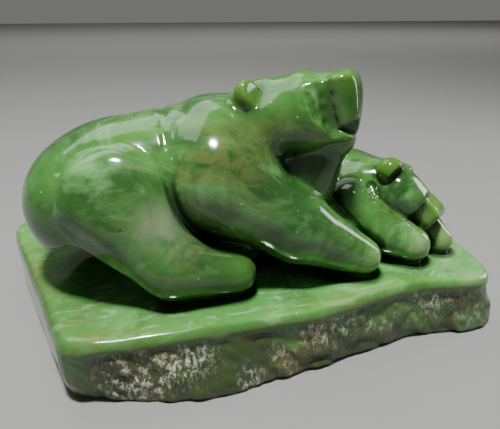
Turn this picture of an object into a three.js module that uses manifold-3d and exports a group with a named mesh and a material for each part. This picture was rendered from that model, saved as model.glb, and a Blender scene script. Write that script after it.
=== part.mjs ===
// Nephrite jade carving of a resting bear with her cub against her chest, on an uneven slab.
// Figure and slab are one stone, so the whole carving is one solid. Millimetres, +Z up.
// The mother's body points along +X, her near side and the slab's long rough edge face -Y,
// and the origin is under the middle of the flat underside.
import * as THREE from "three";
import Module from "manifold-3d";

// The slab
const SLAB_LENGTH = 177;
const SLAB_WIDTH = 101;
const SLAB_THICKNESS = 22;
const FRONT_FLARE = 7.2;
const END_FLARE = 8;
const RIM_ROUND = 3;
const WORN_CORNER_ROUND = 2.5;
const FOOT_ROUND = 2;
const CORNER_UNDERCUT = 3;
const OUTLINE_STEPS = 56;
const RIM_STEPS = 3;

// The figure, measured from the rump to the cub's far paw
const FIGURE_LENGTH = 157;
const SEAT_DEPTH = 6;
const BODY_FACET = 0.03 * FIGURE_LENGTH;
const HEAD_FACET = 0.018 * FIGURE_LENGTH;
const CROSS_FACET = 0.021 * FIGURE_LENGTH;
const TIGHTEST_SEAM = 0.019 * FIGURE_LENGTH;

// The figure keeps its proportions: its places, radii and blends are written as millimetres
// of a figure 157 long, with z measured from the slab's top, and grow with FIGURE_LENGTH.
const grow = FIGURE_LENGTH / 157;
const place = ([x, y, z]) => new THREE.Vector3(x, y, z).multiplyScalar(grow);

// A turned frame: rows point ahead, to the left and up, after a turn to the left by yaw,
// a lift of the nose by pitch and a lean to the right by roll, in degrees
function turned(yaw, pitch = 0, roll = 0) {
  const [a, b, c] = [yaw, pitch, roll].map(THREE.MathUtils.degToRad);
  const ahead = new THREE.Vector3(Math.cos(a) * Math.cos(b), Math.sin(a) * Math.cos(b), Math.sin(b));
  const level = new THREE.Vector3(-Math.sin(a), Math.cos(a), 0);
  const above = new THREE.Vector3().crossVectors(ahead, level);
  const left = level.clone().multiplyScalar(Math.cos(c)).addScaledVector(above, Math.sin(c));
  const up = above.clone().multiplyScalar(Math.cos(c)).addScaledVector(level, -Math.sin(c));
  return new THREE.Matrix3().set(...ahead.toArray(), ...left.toArray(), ...up.toArray());
}

// Masses: each is a function that gives a point's distance to the surface, negative inside
function egg(centre, radii, turn) {
  const c = place(centre);
  const r = place(radii);
  const q = new THREE.Vector3();
  return (p) => {
    q.copy(p).sub(c);
    if (turn) q.applyMatrix3(turn);
    const near = Math.hypot(q.x / r.x, q.y / r.y, q.z / r.z);
    const slope = Math.hypot(q.x / (r.x * r.x), q.y / (r.y * r.y), q.z / (r.z * r.z));
    return (near * (near - 1)) / Math.max(slope, 1e-6);
  };
}

function limb(from, to, fromRadius, toRadius) {
  const a = place(from);
  const ra = fromRadius * grow;
  const rb = toRadius * grow;
  const axis = place(to).sub(a);
  const length = axis.length();
  axis.divideScalar(length);
  const lean = (ra - rb) / length;
  const side = Math.sqrt(1 - lean * lean);
  const q = new THREE.Vector3();
  return (p) => {
    q.copy(p).sub(a);
    const along = q.dot(axis);
    const out = Math.sqrt(Math.max(q.lengthSq() - along * along, 0));
    const foot = along * side - out * lean;
    if (foot <= 0) return Math.hypot(along, out) - ra;
    if (foot >= length * side) return Math.hypot(along - length, out) - rb;
    return out * side + along * lean - ra;
  };
}

function block(centre, half, round) {
  const c = place(centre);
  const h = place(half).subScalar(round * grow);
  const q = new THREE.Vector3();
  const rest = new THREE.Vector3();
  return (p) => {
    q.copy(p).sub(c);
    q.set(Math.abs(q.x), Math.abs(q.y), Math.abs(q.z)).sub(h);
    rest.copy(q).clampScalar(0, Infinity);
    return rest.length() + Math.min(Math.max(q.x, q.y, q.z), 0) - round * grow;
  };
}

function face(through, outward) {
  const normal = new THREE.Vector3(...outward).normalize();
  const offset = normal.dot(place(through));
  return (p) => normal.dot(p) - offset;
}

// Joins and cuts with a soft seam of the given width, never too tight for the facets to follow
function soft(a, b, width) {
  if (a === Infinity) return b;
  const w = Math.max(width * grow, TIGHTEST_SEAM);
  const h = Math.max(w - Math.abs(a - b), 0) / w;
  return Math.min(a, b) - (h * h * w) / 4;
}
const join = (width, ...masses) => (p) => masses.reduce((sum, mass) => soft(sum, mass(p), width), Infinity);
const trim = (width, mass, limit) => (p) => -soft(-mass(p), -limit(p), width);
const carve = (width, mass, tool) => (p) => -soft(-mass(p), tool(p), width);

function bothSides(mass) {
  const q = new THREE.Vector3();
  return (p) => mass(q.set(p.x, -Math.abs(p.y), p.z));
}

function inFrame(origin, turn, mass) {
  const o = place(origin);
  const q = new THREE.Vector3();
  return (p) => mass(q.copy(p).sub(o).applyMatrix3(turn));
}

// The mother's head, in its own frame: x ahead, y to her left, z up
function motherHead() {
  const skull = join(4, egg([-8, 0, -1], [15, 13.6, 13.2]), egg([4.4, 0, 0.6], [10.2, 12.8, 12.6]));
  const cheeks = join(5, skull, bothSides(limb([-5, -5, -3.2], [8, -4.8, -5.4], 9.6, 6.8)));
  const brows = trim(0.8, cheeks, bothSides(face([-6, -11.3, 6.7], [-0.21, -0.63, 0.75])));
  let muzzle = block([15.2, 0, 0.6], [9.4, 8.8, 11], 1.8);
  muzzle = trim(1.5, muzzle, bothSides(face([12, -7, 10.6], [-0.15, -0.16, 0.97])));
  muzzle = trim(2, muzzle, face([22.8, -6.8, 11], [0.8, 0.1, 0.6]));
  muzzle = trim(4, muzzle, face([22.2, -6, 3], [0.93, -0.36, 0]));
  muzzle = trim(4, muzzle, face([24.4, 6, 2], [0.9, 0.43, 0]));
  muzzle = trim(3, muzzle, face([23.6, 0, -4], [0.93, 0, -0.36]));
  const jaw = limb([-2, 0, -8], [13.2, 0.6, -10.6], 10, 7.4);
  let head = join(1.2, join(1.2, brows, muzzle), jaw);
  for (const [side, inner] of [[-1, -5.2], [1, 6.2]]) {
    const underLip = face([15.4, 0, -5.6], [-0.3, 0, 0.95]);
    const overChin = face([15.4, 0, -5.6], [-0.55, 0, -0.84]);
    const mouth = trim(0.6, trim(0.8, underLip, overChin), face([17.5, inner, 0], [-0.25, -side, 0]));
    head = carve(0.8, head, mouth);
  }
  const throat = limb([10, 1, -13], [-2, 1, -27], 7.6, 14);
  const lobe = (centre, front) => trim(0.8, egg(centre, [4.8, 4.6, 5.1]), front);
  const nearEar = lobe([-12, -10.4, 8.4], face([-10.6, -11.5, 8], [0.78, -0.58, 0.24]));
  const farEar = lobe([-12.4, 10.4, 5.4], face([-11, 11.5, 5], [0.78, 0.58, 0.24]));
  return join(1.2, join(2, head, throat), nearEar, farEar);
}

function foreleg(shoulder, elbow, paw, radii) {
  return join(3, limb(shoulder, elbow, radii[0], radii[1]), limb(elbow, paw, radii[1], radii[2]));
}

function motherFront() {
  const neck = limb([-3, 1, 37], [10, 0, 45], 20.5, 15);
  const shoulders = join(8, egg([-7, 0, 34.5], [19.5, 28.5, 23.5]), neck);
  const chest = join(6, shoulders, egg([8, 2, 18], [18, 22, 22]));
  const nearLeg = foreleg([-8, -15.5, 34], [18, -23, 18.4], [41, -28, 6.4], [15.5, 12, 6.8]);
  const farLeg = foreleg([-4, 22, 36], [22, 31, 16], [44, 32, 8], [15, 11.5, 8]);
  return join(7, chest, nearLeg, farLeg);
}

function hindLeg(side) {
  const across = (distance) => 4 + side * distance;
  const thigh = egg([-41, across(19.5), 30], [17, 15.5, 19], turned(0, -38));
  const shank = limb([-39, across(21), 26], [-27, across(28), 13], 15.5, 12);
  const flatSide = face([-42, across(36.4), 27], [-0.12, side * 0.93, 0.34]);
  const rearEdge = face([-45.9, across(34.4), 25.6], [-0.58, side * 0.77, -0.27]);
  const leg = trim(1.2, trim(7, join(8, thigh, shank), flatSide), rearEdge);
  const foot = limb([-24, across(31), 10], [-5, across(33), 7.2], 10, 7.2);
  return join(6, leg, foot);
}

function motherRear() {
  const back = join(6, egg([-43.5, 3, 25], [28, 29, 24.5]), limb([-36, 3, 28], [-14, 2, 31], 25, 25.6));
  const haunches = join(2, back, hindLeg(-1), hindLeg(1));
  const belowRump = face([-71, -2, 8], [0.17, -0.4, -0.9]);
  const behindThigh = face([-52, -20, 19.5], [-0.56, 0.01, -0.83]);
  const hollow = join(2, belowRump, behindThigh);
  const belly = egg([-16, 6, 10], [30, 24, 16]);
  const flank = egg([-3, -17, 10], [9, 9, 9.5]);
  return join(4, trim(1.2, haunches, hollow), belly, flank);
}

// The cub's head, bowed down to its paws, in its own frame
function cubHead() {
  let skull = join(4, egg([1.6, -0.8, -4.4], [11, 12.2, 9.6]), block([5, -1, -4.6], [8, 11, 8.6], 5.5));
  skull = join(3, skull, limb([-3, -6, -9], [5, -6.5, -9], 6.8, 5.8));
  skull = trim(1.2, skull, face([12.2, 0, 0], [1, 0, -0.08]));
  skull = trim(1.4, skull, face([11, 0, 3.2], [0, 0.68, 0.73]));
  const snout = trim(1.2, block([13.6, -1, -2.8], [6, 5.6, 5.4], 1.6), face([18.4, 0, 1.8], [0.5, 0, 0.86]));
  const ear = (x, y, z) => trim(0.6, egg([x, y, z], [5, 5, 4.8]), face([x + 2.6, y, z], [1, -0.05, -0.2]));
  return join(0.8, join(0.8, skull, snout), ear(-5, -8.6, 1.8), ear(-2.2, 8.2, -2.4));
}

function cub() {
  const flank = egg([48, 10, 14], [17, 18, 16]);
  const belly = egg([37, 2, 11], [14, 12, 13]);
  const body = join(6, limb([53, 13, 19], [60, 2, 20], 14, 11.5), flank, belly);
  const neck = limb([55, 0, 21], [62, -6, 24], 11.5, 9);
  const nearLeg = foreleg([46, -8, 17.6], [56.5, -19.5, 9.4], [63.2, -24, 6.2], [9.2, 7.6, 6.8]);
  const farLeg = limb([70, -4, 15], [77.5, -20.5, 4.4], 8, 5.2);
  const hindKnee = limb([26, -6, 19.5], [37.5, -15, 9], 9.2, 7.6);
  const limbs = join(1.4, join(2, join(3, body, neck), nearLeg), farLeg, hindKnee);
  return join(1.2, limbs, inFrame([66, -9, 26.5], turned(-52, -35, -6), cubHead()));
}

function figure() {
  const body = join(1.6, motherRear(), motherFront());
  const head = inFrame([21, -6, 54], turned(-28, 9), motherHead());
  return join(1.2, join(3.5, body, head), cub());
}

// Grid lines along one axis, with the spacing that stepAt gives at each place
function gridLines(from, to, stepAt) {
  const lines = [from * grow];
  while (lines.at(-1) < to * grow) lines.push(lines.at(-1) + stepAt(lines.at(-1) / grow));
  return lines;
}

function gridPoint(n, xs, ys, zs) {
  const row = Math.floor(n / xs.length);
  return new THREE.Vector3(xs[n % xs.length], ys[row % ys.length], zs[Math.floor(row / ys.length)]);
}

// The mass's distance at every grid point, with x running fastest
function sampled(mass, xs, ys, zs) {
  const [nx, ny, nz] = [xs.length, ys.length, zs.length];
  const value = new Float64Array(nx * ny * nz);
  for (let n = 0; n < value.length; n += 1) value[n] = mass(gridPoint(n, xs, ys, zs));
  return { value, filled: new Set(), size: [nx, ny, nz], stride: [1, nx, nx * ny] };
}

// Crevices narrower than a grid cell are closed, so that the stone never touches itself
// along a bare edge or corner: the shallowest empty corner of such a cell is filled
function closeTightCrevices({ value, filled, size: [nx, ny, nz], stride: [sx, sy, sz] }) {
  const squares = [[sx, sy], [sy, sz], [sz, sx]].map(([a, b]) => [0, a, a + b, b]);
  const diagonals = [[0, sx + sy + sz], [sx, sy + sz], [sy, sx + sz], [sz, sx + sy]];
  const cube = diagonals.flat();
  const fill = (corners) => {
    const empty = corners.filter((n) => value[n] >= 0);
    const shallowest = empty.reduce((best, n) => (value[n] < value[best] ? n : best));
    filled.add(shallowest);
    value[shallowest] = -0.05 * HEAD_FACET;
  };
  let changed = true;
  while (changed) {
    changed = false;
    for (let n = 0; n < value.length - (sx + sy + sz); n += 1) {
      const inCell = n % sy < nx - 1 && Math.floor(n / sy) % ny < ny - 1 && n < sz * (nz - 1);
      if (!inCell) continue;
      for (const square of squares) {
        const [a, b, c, d] = square.map((step) => value[n + step] < 0);
        if (a !== c || b !== d || a === b) continue;
        fill(square.map((step) => n + step));
        changed = true;
      }
      const corners = cube.map((step) => n + step);
      const stone = corners.filter((m) => value[m] < 0).length;
      if (stone !== 2 && stone !== 6) continue;
      const alike = (step) => value[n + step] < 0 === (stone === 2);
      if (!diagonals.some(([a, b]) => alike(a) && alike(b))) continue;
      fill(corners);
      changed = true;
    }
  }
}

// Pockets that no way out of the stone reaches are filled
function fillSealedPockets({ value, stride }) {
  const outside = new Uint8Array(value.length);
  const open = [0];
  outside[0] = 1;
  while (open.length) {
    const n = open.pop();
    for (const next of stride.flatMap((step) => [n + step, n - step])) {
      if (next < 0 || next >= value.length || outside[next] || value[next] < 0) continue;
      outside[next] = 1;
      open.push(next);
    }
  }
  for (let n = 0; n < value.length; n += 1) {
    if (!outside[n]) value[n] = Math.min(value[n], -0.05);
  }
}

// The surface of a mass as facets: one vertex in each grid cell that the surface passes through,
// drawn onto the surface, and two triangles across each grid edge that it crosses
function facetedSurface(mass, xs, ys, zs) {
  const grid = sampled(mass, xs, ys, zs);
  closeTightCrevices(grid);
  fillSealedPockets(grid);
  const { value, filled, size: [nx, ny, nz], stride } = grid;
  const pointAt = (n) => gridPoint(n, xs, ys, zs);
  const corners = [0];
  for (const step of stride) corners.push(...corners.map((corner) => corner + step));
  const starts = (step) => corners.filter((corner) => corners.includes(corner + step));
  const edges = stride.flatMap((step) => starts(step).map((corner) => [corner, corner + step]));
  const vertices = [];
  const cellVertex = new Map();
  function vertexOfCell(cell) {
    if (cellVertex.has(cell)) return cellVertex.get(cell);
    const crossings = [];
    for (const [a, b] of edges) {
      const [from, to] = [value[cell + a], value[cell + b]];
      if (from < 0 !== to < 0) crossings.push(pointAt(cell + a).lerp(pointAt(cell + b), from / (from - to)));
    }
    const centre = new THREE.Vector3();
    for (const crossing of crossings) centre.addScaledVector(crossing, 1 / crossings.length);
    vertices.push(corners.some((c) => filled.has(cell + c)) ? centre : ontoSurface(mass, centre));
    cellVertex.set(cell, vertices.length - 1);
    return vertices.length - 1;
  }
  const triangles = [];
  for (let k = 1; k < nz - 1; k += 1) {
    for (let j = 1; j < ny - 1; j += 1) {
      for (let i = 1; i < nx - 1; i += 1) {
        const n = i * stride[0] + j * stride[1] + k * stride[2];
        for (let axis = 0; axis < 3; axis += 1) {
          const inside = value[n] < 0;
          if (inside === value[n + stride[axis]] < 0) continue;
          const [u, v] = [stride[(axis + 1) % 3], stride[(axis + 2) % 3]];
          const ring = [n - u - v, n - v, n, n - u].map(vertexOfCell);
          const [a, b, c, d] = inside ? ring : ring.reverse();
          const straight = vertices[a].distanceTo(vertices[c]) <= vertices[b].distanceTo(vertices[d]);
          triangles.push(...(straight ? [a, b, c, a, c, d] : [b, c, d, b, d, a]));
        }
      }
    }
  }
  const geometry = new THREE.BufferGeometry().setFromPoints(vertices);
  geometry.setIndex(triangles);
  return geometry;
}

// One step along the slope of the mass brings a point near the surface onto it
function ontoSurface(mass, point) {
  const step = 0.2;
  const slope = new THREE.Vector3();
  const probe = new THREE.Vector3();
  for (const axis of ["x", "y", "z"]) {
    const ahead = mass(probe.copy(point).setComponent("xyz".indexOf(axis), point[axis] + step));
    const behind = mass(probe.copy(point).setComponent("xyz".indexOf(axis), point[axis] - step));
    slope[axis] = (ahead - behind) / (2 * step);
  }
  const limit = 0.35 * HEAD_FACET;
  const shift = THREE.MathUtils.clamp(mass(point) / Math.max(slope.lengthSq(), 0.2), -limit, limit);
  return point.addScaledVector(slope, -shift);
}

function figureGeometry() {
  const mass = figure();
  const seated = (p) => Math.max(mass(p), -p.z - SEAT_DEPTH);
  const { lerp, smoothstep } = THREE.MathUtils;
  const finerAhead = (x) => lerp(BODY_FACET, HEAD_FACET, smoothstep(x, 2, 14));
  const xs = gridLines(-80, 96, finerAhead);
  const ys = gridLines(-50, 50, () => CROSS_FACET);
  const zs = gridLines(-SEAT_DEPTH / grow - 4, 78, () => CROSS_FACET);
  return facetedSurface(seated, xs, ys, zs);
}

// The slab's corners on the top rim, as shares of its length and width from the middle
const SLAB_CORNERS = [
  [-0.32, -0.44], [-0.19, -0.463], [-0.02, -0.462], [0.11, -0.462], [0.225, -0.422], [0.33, -0.398],
  [0.41, -0.42], [0.47, -0.416], [0.503, -0.33], [0.51, -0.12], [0.486, 0.18], [0.37, 0.416],
  [0.11, 0.505], [-0.19, 0.535], [-0.41, 0.525], [-0.492, 0.426], [-0.44, 0.1], [-0.396, -0.12],
  [-0.356, -0.33],
];

// A hump of height 1 at the centre, falling off over the width
const hump = (value, centre, width) => Math.exp(-(((value - centre) / width) ** 2));

function slabRing(outline, height, inset) {
  const down = THREE.MathUtils.clamp(1 - height / SLAB_THICKNESS, 0, 1);
  const spread = down * down * (3 - 2 * down);
  const tuckedUnder = THREE.MathUtils.clamp((down - 0.55) / 0.45, 0, 1) ** 2;
  return outline.map((point, n) => {
    const after = outline[(n + 1) % outline.length];
    const before = outline[(n + outline.length - 1) % outline.length];
    const outward = new THREE.Vector2(after.y - before.y, before.x - after.x).normalize();
    const u = point.x / SLAB_LENGTH;
    const v = point.y / SLAB_WIDTH;
    const front = THREE.MathUtils.clamp(-v * 5 - 1, 0, 1);
    const flare = FRONT_FLARE * (hump(u, -0.09, 0.136) + 0.36 * hump(u, 0.26, 0.19)) * front
      + END_FLARE * hump(u, 0.53, 0.06) * hump(v, -0.27, 0.2);
    const worn = hump(u, -0.36, 0.1);
    const rim = Math.max(inset, 0) * (RIM_ROUND + WORN_CORNER_ROUND * worn);
    const foot = Math.max(-inset, 0) * FOOT_ROUND;
    const corner = CORNER_UNDERCUT * worn * front * tuckedUnder;
    return point.clone().addScaledVector(outward, flare * spread - corner - rim - foot);
  });
}

// The slab: rings of its outline from the underside up to the rounded rim, closed top and bottom
function slabGeometry() {
  const corners = SLAB_CORNERS.map(([u, v]) => new THREE.Vector3(u * SLAB_LENGTH, v * SLAB_WIDTH, 0));
  const curve = new THREE.CatmullRomCurve3(corners, true, "catmullrom", 0.5);
  const outline = curve.getSpacedPoints(OUTLINE_STEPS).slice(1).map((p) => new THREE.Vector2(p.x, p.y));
  const levels = [[0, -1], [0.6 * FOOT_ROUND, -0.2], [2 * FOOT_ROUND, 0]];
  for (const share of [0.45, 0.75]) levels.push([share * (SLAB_THICKNESS - RIM_ROUND), 0]);
  for (let n = 0; n <= RIM_STEPS; n += 1) {
    const angle = (n / RIM_STEPS) * (Math.PI / 2);
    levels.push([SLAB_THICKNESS - RIM_ROUND * (1 - Math.sin(angle)), 1 - Math.cos(angle)]);
  }
  const rings = levels.map(([height, inset]) => slabRing(outline, height, inset));
  const vertices = rings.flatMap((ring, n) => ring.map((p) => new THREE.Vector3(p.x, p.y, levels[n][0])));
  const underside = vertices.push(new THREE.Vector3(0, 0, 0)) - 1;
  const top = vertices.push(new THREE.Vector3(0, 0, SLAB_THICKNESS)) - 1;
  const lastRing = (rings.length - 1) * OUTLINE_STEPS;
  const triangles = [];
  for (let m = 0; m < OUTLINE_STEPS; m += 1) {
    const next = (m + 1) % OUTLINE_STEPS;
    triangles.push(underside, next, m, top, lastRing + m, lastRing + next);
    for (let ring = 0; ring < lastRing; ring += OUTLINE_STEPS) {
      const [a, b] = [ring + m, ring + next];
      triangles.push(a, b, b + OUTLINE_STEPS, a, b + OUTLINE_STEPS, a + OUTLINE_STEPS);
    }
  }
  const geometry = new THREE.BufferGeometry().setFromPoints(vertices);
  geometry.setIndex(triangles);
  return geometry;
}

const wasm = await Module();
wasm.setup();

function solidOf(geometry) {
  return new wasm.Manifold(new wasm.Mesh({
    numProp: 3,
    vertProperties: new Float32Array(geometry.attributes.position.array),
    triVerts: new Uint32Array(geometry.index.array),
  }));
}

function geometryOf(solid) {
  const mesh = solid.getMesh();
  const geometry = new THREE.BufferGeometry();
  geometry.setAttribute("position", new THREE.BufferAttribute(new Float32Array(mesh.vertProperties), 3));
  geometry.setIndex(new THREE.BufferAttribute(new Uint32Array(mesh.triVerts), 1));
  geometry.computeVertexNormals();
  return geometry;
}

const seatedFigure = figureGeometry().translate(0, 0, SLAB_THICKNESS);
const carving = geometryOf(solidOf(slabGeometry()).add(solidOf(seatedFigure)));
carving.computeBoundingBox();
const middle = carving.boundingBox.getCenter(new THREE.Vector3());
carving.translate(-middle.x, -middle.y, 0);

const jade = new THREE.MeshStandardMaterial({ color: 0x3f7f3a, roughness: 0.16, metalness: 0 });
const bearAndCub = new THREE.Mesh(carving, jade);
bearAndCub.name = "bear_and_cub_carving";

const model = new THREE.Group();
model.name = "jade_bear_and_cub";
model.add(bearAndCub);

export default model;
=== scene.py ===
import math
from concurrent.futures import ThreadPoolExecutor

import bpy
import numpy as np
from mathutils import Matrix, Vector


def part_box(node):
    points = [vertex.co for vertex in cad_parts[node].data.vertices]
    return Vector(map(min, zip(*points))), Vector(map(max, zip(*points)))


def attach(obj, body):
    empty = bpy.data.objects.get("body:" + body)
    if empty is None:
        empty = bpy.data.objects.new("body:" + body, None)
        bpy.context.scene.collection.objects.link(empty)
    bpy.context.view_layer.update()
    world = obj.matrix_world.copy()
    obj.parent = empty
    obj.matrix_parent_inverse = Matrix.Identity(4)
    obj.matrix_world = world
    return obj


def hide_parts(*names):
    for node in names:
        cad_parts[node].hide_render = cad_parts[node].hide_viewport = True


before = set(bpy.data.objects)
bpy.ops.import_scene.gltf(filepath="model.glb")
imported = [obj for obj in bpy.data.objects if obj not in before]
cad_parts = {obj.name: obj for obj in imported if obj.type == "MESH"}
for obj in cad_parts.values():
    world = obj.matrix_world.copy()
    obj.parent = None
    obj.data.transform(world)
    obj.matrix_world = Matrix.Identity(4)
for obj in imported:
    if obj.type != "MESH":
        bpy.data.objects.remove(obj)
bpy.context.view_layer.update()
bpy.ops.object.select_all(action="DESELECT")


# The carving: a resting bear with her cub against her chest, on an uneven slab.
# All of it is one block of nephrite jade, ground to shape and polished to a glassy gloss,
# with the natural rind of the boulder left rough on the slab's long side and its right end.

# The surface is drawn from round masses that meet in seams, in millimetres. Places are
# measured from the slab's middle, and the figure's heights from the slab's top.
SLAB_LENGTH = 177
SLAB_WIDTH = 101
SLAB_THICKNESS = 22
FRONT_FLARE = 7.2
END_FLARE = 8
RIM_ROUND = 3
WORN_CORNER_ROUND = 2.5
FOOT_ROUND = 2
CORNER_UNDERCUT = 3
RIND_DEPTH = 1.1
RIND_PITS = 0.7
TOP_WAVES = 0.3
SEAT_SEAM = 1.4
FACE_GROOVE = 2
SHOULDER_GROOVE = 1.7
THIGH_GROOVE = 2.4
JOWL_GROOVE = 1.6


def turned(yaw, pitch=0.0, roll=0.0):
    """Rows that point ahead, left and up, turned left, nose up and leaning right by degrees."""
    a, b, c = np.radians([yaw, pitch, roll])
    ahead = np.array([math.cos(a) * math.cos(b), math.sin(a) * math.cos(b), math.sin(b)])
    level = np.array([-math.sin(a), math.cos(a), 0.0])
    above = np.cross(ahead, level)
    left = level * math.cos(c) + above * math.sin(c)
    up = above * math.cos(c) - level * math.sin(c)
    return np.stack([ahead, left, up])


def egg(centre, radii, turn=None):
    """A round mass with three radii."""
    def distance(p):
        q = p - np.array(centre, float)
        if turn is not None:
            q = q @ turn.T
        r = np.array(radii, float)
        near = np.linalg.norm(q / r, axis=1)
        slope = np.linalg.norm(q / r**2, axis=1)
        return near * (near - 1) / np.maximum(slope, 1e-6)
    return distance


def limb(start, end, start_radius, end_radius):
    """A round rod that tapers from one ball to another."""
    a = np.array(start, float)
    axis = np.array(end, float) - a
    length = np.linalg.norm(axis)
    axis = axis / length
    lean = (start_radius - end_radius) / length
    side = math.sqrt(1 - lean**2)

    def distance(p):
        q = p - a
        along = q @ axis
        out = np.sqrt(np.maximum((q * q).sum(1) - along**2, 0))
        foot = along * side - out * lean
        near_start = np.hypot(along, out) - start_radius
        near_end = np.hypot(along - length, out) - end_radius
        between = out * side + along * lean - start_radius
        return np.where(foot <= 0, near_start, np.where(foot >= length * side, near_end, between))
    return distance


def block(centre, half, rounding):
    """A box with round edges, from its middle and its half sizes."""
    def distance(p):
        q = np.abs(p - np.array(centre, float)) - (np.array(half, float) - rounding)
        return np.linalg.norm(np.maximum(q, 0), axis=1) + np.minimum(q.max(1), 0) - rounding
    return distance


def face(through, outward):
    """Everything behind a flat cut."""
    normal = np.array(outward, float) / np.linalg.norm(outward)
    offset = normal @ np.array(through, float)
    return lambda p: p @ normal - offset


def soft(a, b, width):
    """The nearer of two distances, blended where they are closer than the seam's width."""
    seam = np.maximum(width - np.abs(a - b), 0) / width
    return np.minimum(a, b) - seam**2 * width / 4


def join(width, first, *others):
    def distance(p):
        total = first(p)
        for mass in others:
            total = soft(total, mass(p), width)
        return total
    return distance


def trim(width, mass, limit):
    return lambda p: -soft(-mass(p), -limit(p), width)


def carve(width, mass, tool):
    return lambda p: -soft(-mass(p), tool(p), width)


def both_sides(mass):
    return lambda p: mass(np.column_stack([p[:, 0], -np.abs(p[:, 1]), p[:, 2]]))


def in_frame(origin, turn, mass):
    return lambda p: mass((p - np.array(origin, float)) @ turn.T)


def ball_path(points, radius):
    """A bent rod of one radius through the points."""
    return join(0.6, *[limb(a, b, radius, radius) for a, b in zip(points, points[1:])])


def mothers_head():
    skull = join(4, egg([-8, 0, -1], [15, 13.6, 13.2]), egg([4.4, 0, 0.6], [10.2, 12.8, 12.6]))
    cheeks = join(5, skull, both_sides(limb([-5, -5, -3.2], [8, -4.8, -5.4], 9.6, 6.8)))
    brows = trim(0.3, cheeks, both_sides(face([-1.5, -10.7, 7.1], [-0.127, -0.593, 0.791])))
    muzzle = block([15.2, 0, 0.6], [9.4, 8.8, 11], 1.8)
    muzzle = trim(1.5, muzzle, both_sides(face([12, -7, 10.6], [-0.15, -0.16, 0.97])))
    muzzle = trim(2, muzzle, face([22.8, -6.8, 11], [0.8, 0.1, 0.6]))
    muzzle = trim(4, muzzle, face([22.2, -6, 3], [0.93, -0.36, 0]))
    muzzle = trim(4, muzzle, face([24.4, 6, 2], [0.9, 0.43, 0]))
    muzzle = trim(3, muzzle, face([23.6, 0, -4], [0.93, 0, -0.36]))
    jaw = limb([-2, 0, -8], [13.2, 0.6, -10.6], 10, 7.4)
    head = join(1.2, join(1.2, brows, muzzle), jaw)
    stop = ball_path([
        [11.8, -3, 13.4], [11.9, -7.8, 11.7], [12.1, -9.7, 8.6], [12.6, -9.9, 4.9],
        [12.9, -10, 0.7], [13.5, -10, -3.2], [14.4, -10.1, -5.6],
    ], FACE_GROOVE)
    head = carve(2, head, both_sides(stop))
    cheek_line = ball_path([
        [8.1, -11.9, 6.6], [9.2, -12.4, 3.5], [10.2, -12.7, 0.3], [11, -12.7, -1.2],
    ], FACE_GROOVE)
    head = carve(0.5, head, both_sides(cheek_line))
    for side, inner in [(-1, -5.2), (1, 6.2)]:
        under_lip = face([15.4, 0, -5.6], [-0.3, 0, 0.95])
        over_chin = face([15.4, 0, -5.6], [-0.55, 0, -0.84])
        mouth = trim(0.6, trim(0.8, under_lip, over_chin), face([17.5, inner, 0], [-0.25, -side, 0]))
        head = carve(0.8, head, mouth)
    throat = limb([10, 1, -13], [-2, 1, -27], 7.6, 14)
    near_ear = egg([-12, -10.4, 8.4], [4.8, 4.6, 5.1])
    near_ear = trim(1.2, near_ear, face([-10, -11.5, 8], [0.9, -0.38, 0.22]))
    far_ear = egg([-12.4, 10.4, 5.4], [4.8, 4.6, 5.1])
    far_ear = trim(0.4, far_ear, face([-11, 11.5, 5], [0.78, 0.58, 0.24]))
    return join(1.2, join(2, head, throat), near_ear, far_ear)


def foreleg(shoulder, elbow, paw, radii):
    """Two rods from the shoulder to the paw, with the radius at each of the three places."""
    return join(3, limb(shoulder, elbow, radii[0], radii[1]), limb(elbow, paw, radii[1], radii[2]))


def mothers_front():
    neck = limb([-3, 1, 37], [10, 0, 45], 20.5, 15)
    shoulders = join(8, egg([-7, 0, 34.5], [19.5, 28.5, 23.5]), neck)
    chest = join(6, shoulders, egg([8, 2, 18], [18, 22, 22]))
    near_leg = foreleg([-8, -15.5, 34], [18, -23, 18.4], [41, -28, 6.4], [15.5, 12, 6.8])
    far_leg = foreleg([-4, 22, 36], [22, 31, 16], [44, 32, 8], [15, 11.5, 8])
    return join(7, chest, near_leg, far_leg)


def hind_leg(side):
    def across(distance):
        return 4 + side * distance
    thigh = egg([-41, across(19.5), 30], [17, 15.5, 19], turned(0, -38))
    shank = limb([-39, across(21), 26], [-27, across(28), 13], 15.5, 12)
    leg = join(8, thigh, shank)
    leg = trim(7, leg, face([-42, across(36.4), 27], [-0.12, side * 0.93, 0.34]))
    leg = trim(1.2, leg, face([-45.9, across(34.4), 25.6], [-0.58, side * 0.77, -0.27]))
    foot = limb([-24, across(31), 10], [-5, across(33), 7.2], 10, 7.2)
    return join(6, leg, foot)


def mothers_rear():
    back = join(6, egg([-43.5, 3, 25], [28, 29, 24.5]), limb([-36, 3, 28], [-14, 2, 31], 25, 25.6))
    haunches = join(1, back, hind_leg(-1), hind_leg(1))
    below_rump = face([-71, -2, 8], [0.17, -0.4, -0.9])
    behind_thigh = face([-52, -20, 19.5], [-0.56, 0.01, -0.83])
    hollow = join(2, below_rump, behind_thigh)
    belly = egg([-16, 6, 10], [30, 24, 16])
    flank = egg([-3, -17, 10], [9, 9, 9.5])
    return join(4, trim(1.2, haunches, hollow), belly, flank)


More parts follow.
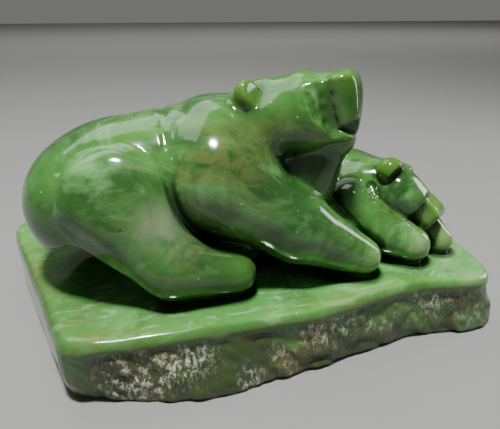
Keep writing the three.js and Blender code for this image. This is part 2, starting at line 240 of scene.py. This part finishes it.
def cubs_head():
    skull = join(4, egg([1.6, -0.8, -4.4], [11, 12.2, 9.6]), block([5, -1, -4.6], [8, 11, 8.6], 5.5))
    skull = join(3, skull, limb([-3, -6, -9], [5, -6.5, -9], 6.8, 5.8))
    skull = trim(0.7, skull, face([12.2, 0, 0], [1, 0, -0.08]))
    skull = trim(0.9, skull, face([11, 0, 3.2], [0, 0.68, 0.73]))
    snout = trim(0.8, block([13.6, -1, -2.8], [6, 5.6, 5.4], 1.6), face([18.4, 0, 1.8], [0.5, 0, 0.86]))
    head = join(0.8, skull, snout)
    for x, y, z in [(-5, -8.6, 1.8), (-2.2, 8.2, -2.4)]:
        ear = trim(0.3, egg([x, y, z], [5, 5, 4.8]), face([x + 2.2, y, z], [1, -0.1, 0.12]))
        head = join(0.8, head, ear)
    return head


def cub():
    flank = egg([48, 10, 14], [17, 18, 16])
    belly = egg([37, 2, 11], [14, 12, 13])
    body = join(6, limb([53, 13, 19], [60, 2, 20], 14, 11.5), flank, belly)
    neck = limb([55, 0, 21], [62, -6, 24], 11.5, 9)
    near_leg = foreleg([46, -8, 17.6], [56.5, -19.5, 9.4], [63.2, -24, 6.2], [9.2, 7.6, 6.8])
    far_leg = limb([70, -4, 15], [77.5, -20.5, 4.4], 8, 5.2)
    hind_knee = limb([26, -6, 19.5], [37.5, -15, 9], 9.2, 7.6)
    limbs = join(0.9, join(1.4, join(3, body, neck), near_leg), far_leg, hind_knee)
    whole_cub = join(0.6, limbs, in_frame([66, -9, 26.5], turned(-52, -35, -6), cubs_head()))
    under_jowl = ball_path([
        [51.2, -10.9, 26.3], [51.2, -13.9, 24.5], [50.7, -17, 22.9], [53.4, -19.2, 20.9],
        [57, -21.6, 19], [58.4, -23, 17.6],
    ], JOWL_GROOVE)
    return carve(0.6, whole_cub, under_jowl)


def figure():
    behind_shoulders = ball_path([
        [-22.6, 27, 42], [-23.2, 22, 47.6], [-23, 12, 54], [-22.4, 3, 57.2],
        [-23.2, -5, 56], [-23.8, -11.6, 52.8], [-23.4, -17.4, 48.2], [-22.2, -22, 43.6],
    ], SHOULDER_GROOVE)
    body = carve(0.8, join(0.9, mothers_rear(), mothers_front()), behind_shoulders)
    round_the_thigh = ball_path([
        [-56, -15.4, 43], [-52.7, -13.6, 46.2], [-49.4, -12.5, 48.3], [-44.8, -12.9, 49.5],
        [-39.9, -14.6, 50], [-35.5, -17.3, 49.4], [-32, -19.5, 47.7], [-28.7, -21.8, 45.6],
        [-26, -24.6, 42.4],
    ], THIGH_GROOVE)
    body = carve(1, body, round_the_thigh)
    head = in_frame([21, -6, 54], turned(-28, 9), mothers_head())
    return join(0.8, join(3, body, head), cub())


# The slab's corners on the top rim, as shares of its length and width from the middle
SLAB_CORNERS = [
    (-0.32, -0.44), (-0.19, -0.463), (-0.02, -0.462), (0.11, -0.462), (0.225, -0.422),
    (0.33, -0.398), (0.41, -0.42), (0.47, -0.416), (0.503, -0.33), (0.51, -0.12),
    (0.486, 0.18), (0.37, 0.416), (0.11, 0.505), (-0.19, 0.535), (-0.41, 0.525),
    (-0.492, 0.426), (-0.44, 0.1), (-0.396, -0.12), (-0.356, -0.33),
]


def rounded_outline(corners, steps=5):
    """A smooth closed curve through the corners."""
    points = []
    count = len(corners)
    for n in range(count):
        a, b, c, d = (np.array(corners[(n + k) % count], float) for k in (-1, 0, 1, 2))
        for t in np.arange(steps) / steps:
            bend = (2 * a - 5 * b + 4 * c - d) * t**2 + (3 * b - a - 3 * c + d) * t**3
            points.append(0.5 * (2 * b + (c - a) * t + bend))
    return np.array(points) * (SLAB_LENGTH, SLAB_WIDTH)


def inside_outline(outline):
    """Distance to a closed outline in plan, negative inside."""
    def distance(p):
        x, y = p[:, 0], p[:, 1]
        nearest = np.full(len(p), np.inf)
        inside = np.zeros(len(p), bool)
        for a, b in zip(outline, np.roll(outline, -1, axis=0)):
            edge = b - a
            share = np.clip(((x - a[0]) * edge[0] + (y - a[1]) * edge[1]) / (edge @ edge), 0, 1)
            gap = (x - a[0] - edge[0] * share) ** 2 + (y - a[1] - edge[1] * share) ** 2
            nearest = np.minimum(nearest, gap)
            spans = (a[1] > y) != (b[1] > y)
            if edge[1]:
                inside ^= spans & (x < a[0] + (y - a[1]) * edge[0] / edge[1])
        return np.where(inside, -1, 1) * np.sqrt(nearest)
    return distance


def hump(value, centre, width):
    """1 at the centre, falling softly to nothing about twice the width away."""
    return np.exp(-(((value - centre) / width) ** 2))


def unevenness(p, size, seed):
    """Seeded humps and hollows between about -1 and 1, roughly as wide as the size."""
    numbers = np.random.default_rng(seed)
    ways = numbers.normal(size=(10, 3)) * 2.4 / size
    starts = numbers.uniform(0, 2 * math.pi, 10)
    return sum(np.sin(p @ way + start) for way, start in zip(ways, starts)) / 4


def rind(p):
    """How far the natural rind was left on: all of the front and right end, thinner behind."""
    u, v = p[:, 0] / SLAB_LENGTH, p[:, 1] / SLAB_WIDTH
    front = np.clip((-v - 0.28) * 8, 0, 1) * np.clip((u + 0.34) * 16, 0.1, 1)
    right_end = np.clip((u - 0.42) * 14, 0, 1)
    behind = 0.5 * np.clip((v - 0.3) * 8, 0, 1)
    below_rim = np.clip((-p[:, 2] - RIM_ROUND + 0.3) / 3, 0, 1)
    return np.maximum(np.maximum(front, right_end), behind) * below_rim


def slab():
    rim = inside_outline(rounded_outline(SLAB_CORNERS))

    def distance(p):
        u, v, z = p[:, 0] / SLAB_LENGTH, p[:, 1] / SLAB_WIDTH, p[:, 2]
        down = np.clip(-z / SLAB_THICKNESS, 0, 1)
        spread = down**2 * (3 - 2 * down)
        tucked_under = np.clip((down - 0.55) / 0.45, 0, 1) ** 2
        front = np.clip(-v * 5 - 1, 0, 1)
        flare = FRONT_FLARE * (hump(u, -0.09, 0.136) + 0.36 * hump(u, 0.26, 0.19)) * front
        flare += END_FLARE * hump(u, 0.53, 0.06) * hump(v, -0.27, 0.2)
        worn = hump(u, -0.36, 0.1)
        side = rim(p) - flare * spread + CORNER_UNDERCUT * worn * front * tucked_under
        crags = 1 - np.abs(unevenness(p, 9, 4))
        pits = 0.5 + 0.5 * unevenness(p, 4, 7)
        side += rind(p) * (RIND_DEPTH * np.clip(crags, 0, 1) + RIND_PITS * np.clip(pits, 0, 1))
        top = z + TOP_WAVES * unevenness(p, 14, 11)
        with_top = -soft(-side, -top, RIM_ROUND + WORN_CORNER_ROUND * worn)
        return -soft(-with_top, z + SLAB_THICKNESS, FOOT_ROUND)
    return distance


whole_stone = join(SEAT_SEAM, figure(), slab())


def stone(p, batch=8000):
    """Distance to the carving's surface, worked out for a few thousand points at a time."""
    with ThreadPoolExecutor() as workers:
        return np.concatenate(list(workers.map(whole_stone, np.array_split(p, len(p) // batch + 1))))


def slope(p, step=0.15):
    """The direction in which the distance grows, at each point."""
    probes = step * np.array([[1, -1, -1], [-1, -1, 1], [-1, 1, -1], [1, 1, 1]])
    grown = sum(probe * stone(p + probe)[:, None] for probe in probes)
    return grown / (4 * step**2)


# The stone is cut out of a grid that is finer towards the heads, one point in every cell that
# its surface passes through, and worked down onto the masses in a few passes
PASSES = 5
LARGEST_CUT = 0.8
BODY_STEP = 1.15
HEAD_STEP = 0.88
CROSS_STEP = 1.02
SLAB_RISE = 1.5
FIGURE_RISE = 0.92
lengthwise = np.concatenate([np.arange(-94, 2, BODY_STEP), np.arange(2, 103, HEAD_STEP)])
crosswise = np.arange(-60, 62, CROSS_STEP)
upward = np.concatenate([
    np.arange(-SLAB_THICKNESS - 2, -5, SLAB_RISE), np.arange(-5, 74, FIGURE_RISE),
])

grid = np.stack(np.meshgrid(lengthwise, crosswise, upward, indexing="ij"), -1)
inside = stone(grid.reshape(-1, 3)).reshape(grid.shape[:3]) < 0
lower, upper = slice(None, -1), slice(1, None)
ends_of_cell = (lower, upper)
filled_corners = sum(
    inside[i, j, k].astype(int) for i in ends_of_cell for j in ends_of_cell for k in ends_of_cell
)
crossed = (filled_corners > 0) & (filled_corners < 8)
cell_number = np.zeros(crossed.shape, np.int64)
cell_number[crossed] = np.arange(crossed.sum())
points = (grid[:-1, :-1, :-1][crossed] + grid[1:, 1:, 1:][crossed]) / 2

# One face for each edge of the grid that leaves or enters the stone, through the four cells around it
AROUND = [(lower, lower), (upper, lower), (upper, upper), (lower, upper)]
quads = []
for axis in range(3):
    order = [axis, (axis + 1) % 3, (axis + 2) % 3]
    along, cells = inside.transpose(order), cell_number.transpose(order)
    here, next_one = along[:-1, 1:-1, 1:-1], along[1:, 1:-1, 1:-1]
    edge = here != next_one
    ring = np.stack([cells[:, a, b][edge] for a, b in AROUND], 1)
    leaving = here[edge]
    ring[~leaving] = ring[~leaving][:, ::-1]
    quads.append(ring)
quads = np.concatenate(quads)

ends = np.concatenate([quads[:, [n, (n + 1) % 4]] for n in range(4)])
neighbours = np.bincount(ends[:, 0], minlength=len(points))[:, None]


def evened(p):
    """Each point halfway to the middle of its neighbours."""
    middle = np.column_stack([np.bincount(ends[:, 0], p[ends[:, 1], n], len(p)) for n in range(3)])
    return 0.5 * p + 0.5 * middle / neighbours


def drawn_on(p):
    """Each point a step nearer to the surface of the stone."""
    rise = slope(p)
    steepness = np.maximum((rise**2).sum(1), 0.2)
    cut = np.clip(stone(p) / steepness, -LARGEST_CUT, LARGEST_CUT)
    return p - rise * cut[:, None]


for _ in range(PASSES):
    points = drawn_on(evened(points))
points = drawn_on(points)

# From the slab's middle to the frame, whose origin is under the middle of the whole carving
LEFT_END = -86.61
FRONT_EDGE = -53.54
lowest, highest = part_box("bear_and_cub_carving")
shift = np.array([LEFT_END - lowest.x * 1000, FRONT_EDGE - lowest.y * 1000, -SLAB_THICKNESS])

mesh = bpy.data.meshes.new("polished_carving")
mesh.from_pydata((points - shift) / 1000, [], quads)
carving = bpy.data.objects.new("polished_carving", mesh)
bpy.context.scene.collection.objects.link(carving)
carving.select_set(True)
bpy.context.view_layer.objects.active = carving
bpy.ops.object.shade_smooth()


def paint(name, values):
    layer = mesh.attributes.new(name, "FLOAT", "POINT")
    layer.data.foreach_set("value", np.clip(values, 0, 1).astype(np.float32))


def patches(*places):
    """Soft round patches, each with its middle and its reach."""
    return sum(np.exp(-(((points - place) ** 2).sum(1) / reach**2)) for place, reach in places)


# Where the stone is thin (painted light: lighter there, as if lit through), slab, rind or slab side
# (painted shade: darker), where the creases are (painted shade: darker in them),
# and where its colour drifts: olive veins, whitish crust and pale clouds, with a painted highlight at
# the mother's paw and painted shade, deeper green, under the rump, thigh, foreleg and chin
SEEN_INTO = 9
CREASE_WIDTH = 3
outward = slope(points)
outward /= np.linalg.norm(outward, axis=1)[:, None]
mesh.normals_split_custom_set_from_vertices(outward)
# Painted light: lighter yellow-green where the stone is thin, as if lit through
paint("thin", 1 + stone(points - SEEN_INTO * outward) / SEEN_INTO)
paint("slab", figure()(points) / 2)
paint("rind", rind(points))
# Painted shade: the slab's sides below the rim are darkened towards olive
paint("sides", (-points[:, 2] - 0.4) / 2.4)
# Painted shade: darker in creases and hollows, where the surface closes in nearby
paint("crease_shade", 1 - stone(points + CREASE_WIDTH * outward) / CREASE_WIDTH)
paint("olive", patches(
    ([-10, -27, 45], 12), ([-16, -27, 39], 7), ([-2, -25, 47], 8), ([-24, -34, 19], 10),
    ([-1, -32, 29], 9), ([10, -18, 49], 8), ([-42, -47, -10], 18), ([30, -45, -9], 14),
    ([-66, -22, -8], 16), ([-76, 6, -8], 18), ([-56, -43, -12], 12), ([-44, -36, 34], 7),
))
paint("crust", patches(
    ([-41, -47, -15], 9), ([-31, -48, -13], 5), ([-23, -48, -8], 6), ([-5, -51, -18], 4),
    ([18, -47, -4], 7), ([27, -45, -5], 7), ([63, -40, -7], 7), ([84, -30, -8], 6),
))
# Painted shade: darker patches under the rump, low on the thigh and foreleg, and under the mother's
# chin
paint("deep_shade", patches(
    ([-68, -14, 22], 16), ([-60, -24, 12], 12), ([12, -30, 26], 13), ([-30, -36, 12], 9),
    ([29, -15, 37], 12),
))
# Pale grey clouds in the stone, and at the mother's paw tip a painted highlight
paint("pale", patches(
    ([-28, -31, 27], 7), ([80, -32, -1], 12), ([64, -30, 8], 3.4), ([46, -33, 8], 3),
    ([-52, -46, -4], 2.2),
))

jade = bpy.data.materials.new("polished_jade")
jade.use_nodes = True
tree = jade.node_tree
shader = tree.nodes["Principled BSDF"]
shader.inputs["IOR"].default_value = 1.62
shader.inputs["Subsurface Weight"].default_value = 0.12
shader.inputs["Subsurface Radius"].default_value = (0.5, 1, 0.3)
shader.inputs["Subsurface Scale"].default_value = 0.004
where = tree.nodes.new("ShaderNodeTexCoord").outputs["Object"]


def cloud(size, detail=4, roughness=0.55, swirl=0.0, stretch=(1, 1, 1)):
    """Noise whose lumps are about as wide as the size in metres."""
    stretched = tree.nodes.new("ShaderNodeMapping")
    stretched.inputs["Scale"].default_value = stretch
    noise = tree.nodes.new("ShaderNodeTexNoise")
    noise.inputs["Scale"].default_value = 0.6 / size
    noise.inputs["Detail"].default_value = detail
    noise.inputs["Roughness"].default_value = roughness
    noise.inputs["Distortion"].default_value = swirl
    tree.links.new(where, stretched.inputs["Vector"])
    tree.links.new(stretched.outputs["Vector"], noise.inputs["Vector"])
    return noise.outputs["Fac"]


def band(value, start, end, low=0.0, high=1.0):
    """A soft step from low to high while the value goes from start to end."""
    step = tree.nodes.new("ShaderNodeMapRange")
    step.interpolation_type = "SMOOTHSTEP"
    step.inputs["From Min"].default_value = start
    step.inputs["From Max"].default_value = end
    step.inputs["To Min"].default_value = low
    step.inputs["To Max"].default_value = high
    tree.links.new(value, step.inputs["Value"])
    return step.outputs["Result"]


def maths(operation, a, b):
    node = tree.nodes.new("ShaderNodeMath")
    node.operation = operation
    for value, socket in zip((a, b), node.inputs):
        if isinstance(value, (int, float)):
            socket.default_value = value
        else:
            tree.links.new(value, socket)
    return node.outputs["Value"]


def times(a, b):
    return maths("MULTIPLY", a, b)


def painted(name):
    layer = tree.nodes.new("ShaderNodeAttribute")
    layer.attribute_name = name
    return layer.outputs["Fac"]


def laid_over(under, tint, amount):
    mix = tree.nodes.new("ShaderNodeMix")
    mix.data_type = "RGBA"
    tree.links.new(amount, mix.inputs["Factor"])
    if isinstance(under, tuple):
        mix.inputs["A"].default_value = (*under, 1)
    else:
        tree.links.new(under, mix.inputs["A"])
    mix.inputs["B"].default_value = (*tint, 1)
    return mix.outputs["Result"]


def specks(size, share, seed):
    """Small round spots in a share of the cells, which are about as wide as the size in metres."""
    cells = tree.nodes.new("ShaderNodeTexVoronoi")
    cells.inputs["Scale"].default_value = 1 / size
    moved = tree.nodes.new("ShaderNodeVectorMath")
    moved.operation = "ADD"
    moved.inputs[1].default_value = (seed, seed, seed)
    tree.links.new(where, moved.inputs[0])
    tree.links.new(moved.outputs["Vector"], cells.inputs["Vector"])
    chosen = tree.nodes.new("ShaderNodeSeparateColor")
    tree.links.new(cells.outputs["Color"], chosen.inputs["Color"])
    spot = band(cells.outputs["Distance"], 0.075, 0.03)
    return times(spot, band(chosen.outputs["Red"], 1 - share, 1 - share + 0.02))


DARK_GREEN = (0.018, 0.068, 0.012)
MID_GREEN = (0.058, 0.19, 0.034)
LIGHT_GREEN = (0.15, 0.4, 0.12)
SLAB_GREEN = (0.08, 0.27, 0.065)
SMOKE_GREEN = (0.02, 0.07, 0.018)
FEATHER_GREEN = (0.34, 0.55, 0.28)
# Painted light, laid where the stone is thin as if lit through
THIN_GLOW_GREEN = (0.13, 0.29, 0.025)
VEIN_OLIVE = (0.11, 0.13, 0.035)
# Pale stone, and a painted highlight at the mother's paw
PALE_GREY_AND_HIGHLIGHT = (0.4, 0.46, 0.3)
DARK_SPECK = (0.004, 0.02, 0.006)
WHITE_SPECK = (0.75, 0.85, 0.7)
# Painted shade on the slab's sides
SIDE_SHADE_OLIVE = (0.05, 0.105, 0.018)
# Painted shade on the undersides and low parts
DEEP_SHADE_GREEN = (0.012, 0.05, 0.01)
RIND_DARK = (0.03, 0.046, 0.011)
RIND_BROWN = (0.075, 0.075, 0.02)
RIND_GREEN = (0.05, 0.15, 0.03)
CHALK = (0.6, 0.58, 0.49)
# Painted shade in the creases
CREASE_SHADE_GREEN = (0.008, 0.03, 0.007)

thin, slab_part, rind_part = painted("thin"), painted("slab"), painted("rind")
light = band(cloud(0.018, 6, 0.62, 0.9), 0.5, 0.68)
smoke = band(cloud(0.011, 6, 0.62, 1), 0.49, 0.64)
feathers = band(cloud(0.011, 8, 0.68, 1.6, (1, 2.6, 1.4)), 0.5, 0.68)
veins = band(cloud(0.012, 7, 0.7, 2.2, (1, 1, 2)), 0.42, 0.56)
wisps = band(cloud(0.009, 6), 0.35, 0.62)
green_rind = band(cloud(0.021, 4, 0.6, 0.6), 0.5, 0.62, 0, 0.8)
crust = maths("MAXIMUM", painted("crust"), band(cloud(0.016, 5, 0.6, 0.4), 0.52, 0.66, 0, 0.6))
grains = band(cloud(0.0012, 8, 0.85, 0.3, (1, 1, 0.6)), 0.51, 0.57)
chalk = times(times(crust, grains), rind_part)

# Each colour goes over the ones before it, by its own amount
colour = laid_over(DARK_GREEN, MID_GREEN, band(cloud(0.026, 4), 0.38, 0.58))
for tint, amount in [
    (LIGHT_GREEN, times(light, 0.72)),
    (SLAB_GREEN, times(slab_part, 0.66)),
    (SMOKE_GREEN, times(smoke, band(slab_part, 0, 1, 0.72, 0.5))),
    (FEATHER_GREEN, times(feathers, band(slab_part, 0, 1, 0.16, 0.5))),
    # Painted light: lighter yellow-green where the stone is thin
    (THIN_GLOW_GREEN, times(band(thin, 0.1, 0.9), 0.42)),
    (VEIN_OLIVE, times(times(painted("olive"), veins), 0.6)),
    # Pale clouds, with a painted highlight at the mother's paw tip
    (PALE_GREY_AND_HIGHLIGHT, times(times(painted("pale"), wisps), 0.48)),
    (DARK_SPECK, specks(0.0062, 0.3, 3)),
    (WHITE_SPECK, times(specks(0.0036, 0.3, 8), 0.85)),
    # Painted shade: darker olive on the slab's sides below the rim
    (SIDE_SHADE_OLIVE, times(painted("sides"), 0.72)),
    # Painted shade: deeper green under the rump, thigh, foreleg and chin
    (DEEP_SHADE_GREEN, times(painted("deep_shade"), 0.58)),
    (RIND_DARK, times(rind_part, 0.88)),
    (RIND_BROWN, times(rind_part, band(cloud(0.016, 5), 0.48, 0.62))),
    (RIND_GREEN, times(rind_part, green_rind)),
    (CHALK, chalk),
    # Painted shade: dark green in the creases and hollows
    (CREASE_SHADE_GREEN, times(band(painted("crease_shade"), 0.08, 0.65), 0.78)),
]:
    colour = laid_over(colour, tint, amount)
tree.links.new(colour, shader.inputs["Base Color"])

gloss = maths("ADD", band(cloud(0.008, 3), 0.3, 0.7, 0.07, 0.13), times(rind_part, 0.16))
tree.links.new(maths("ADD", gloss, times(chalk, 0.5)), shader.inputs["Roughness"])

bump = tree.nodes.new("ShaderNodeBump")
bump.inputs["Strength"].default_value = 0.5
bump.inputs["Distance"].default_value = 0.0008
waves = times(cloud(0.015, 3), 0.6)
grit = times(cloud(0.0022, 8, 0.75), times(rind_part, 1.6))
tree.links.new(maths("ADD", waves, grit), bump.inputs["Height"])
tree.links.new(bump.outputs["Normal"], shader.inputs["Normal"])
mesh.materials.append(jade)

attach(carving, "root")
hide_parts("bear_and_cub_carving")


# The room: a plain pale floor, soft lights above and behind, a low one at the right, and the
# camera at the photograph's angle
bpy.ops.mesh.primitive_plane_add(size=8, location=(0, 0, 0))
floor = bpy.context.active_object
floor.name = "floor"
floor_paint = bpy.data.materials.new("pale_floor")
floor_paint.use_nodes = True
floor_shader = floor_paint.node_tree.nodes["Principled BSDF"]
floor_shader.inputs["Base Color"].default_value = (0.19, 0.19, 0.18, 1)
floor_shader.inputs["Roughness"].default_value = 0.8
floor.data.materials.append(floor_paint)

world = bpy.data.worlds.new("soft_room")
world.use_nodes = True
background = world.node_tree.nodes["Background"]
background.inputs["Color"].default_value = (0.5, 0.5, 0.48, 1)
background.inputs["Strength"].default_value = 0.34
bpy.context.scene.world = world


def soft_light(name, place, aim, size, power):
    light = bpy.data.lights.new(name, "AREA")
    light.shape = "RECTANGLE"
    light.size, light.size_y = size
    light.energy = power
    lamp = bpy.data.objects.new(name, light)
    lamp.location = place
    lamp.rotation_euler = (Vector(aim) - Vector(place)).to_track_quat("-Z", "Y").to_euler()
    bpy.context.scene.collection.objects.link(lamp)


soft_light("overhead", (-0.24, 0.5, 0.78), (0, 0, 0.04), (0.8, 0.45), 2.6)
soft_light("backdrop", (0.4, 1.4, 1.3), (0.4, 3.1, 0), (3.5, 1.2), 40)
soft_light("card", (0.42, 0.04, 0.15), (0.04, 0, 0.07), (0.1, 0.2), 0.45)
soft_light("lamp", (-0.08, -0.1, 0.9), (0, 0, 0.04), (0.14, 0.1), 19)

CAMERA_PLACE = (-0.0305, -0.1531, 0.108)
CAMERA_DOWN = 24.6
CAMERA_TURN = -13.9
CAMERA_LENS = 32.4
NEAREST_SEEN = 0.01
camera = bpy.data.objects.new("camera", bpy.data.cameras.new("camera"))
camera.data.lens = CAMERA_LENS
camera.data.clip_start = NEAREST_SEEN
camera.location = Vector(CAMERA_PLACE) - Vector((shift[0], shift[1], 0)) / 1000
camera.rotation_euler = (math.radians(90 - CAMERA_DOWN), 0, math.radians(CAMERA_TURN))
bpy.context.scene.collection.objects.link(camera)
bpy.context.scene.camera = camera
